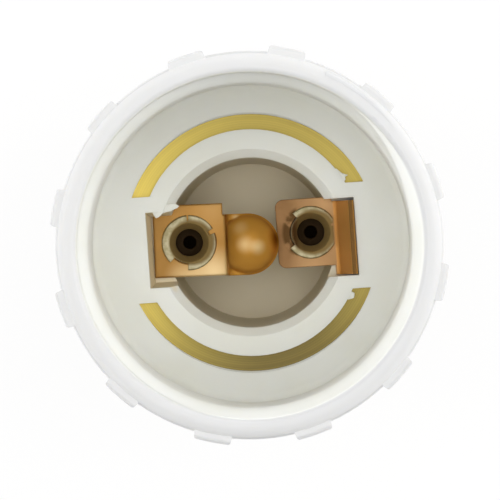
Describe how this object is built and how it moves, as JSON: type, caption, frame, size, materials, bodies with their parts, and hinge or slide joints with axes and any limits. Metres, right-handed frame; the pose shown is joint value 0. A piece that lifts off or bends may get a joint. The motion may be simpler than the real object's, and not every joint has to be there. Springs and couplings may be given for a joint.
{
  "type": "lamp socket adapter",
  "caption": "White ribbed lamp socket adapter with a brass bayonet cap below and an open screw lampholder cup above, holding a domed centre contact and a bent side contact on tubular rivets.",
  "frame": {"origin": "on the axis at the height of the two bayonet pins", "axes": "+Z along the axis out of the lamp mouth, +X along the line of the two contacts from the centre contact's rivet to the side contact's, +Y along the rear bayonet pin"},
  "size_m": [0.0304, 0.0304, 0.0479],
  "materials": {
    "white_plastic": "satin moulded white thermoplastic",
    "sleeve_brass": "drawn yellow brass",
    "golden_strip": "satin golden brass strip",
    "copper_strip": "satin copper-coloured strip",
    "rivet_brass": "pale dull brass"
  },
  "bodies": {
    "root": {"socket_body": "white_plastic", "bayonet_sleeve": "sleeve_brass", "front_pin": "sleeve_brass", "rear_pin": "sleeve_brass", "centre_contact": "golden_strip", "side_contact": "copper_strip", "centre_rivet": "rivet_brass", "side_rivet": "rivet_brass"}
  },
  "joints": []
}
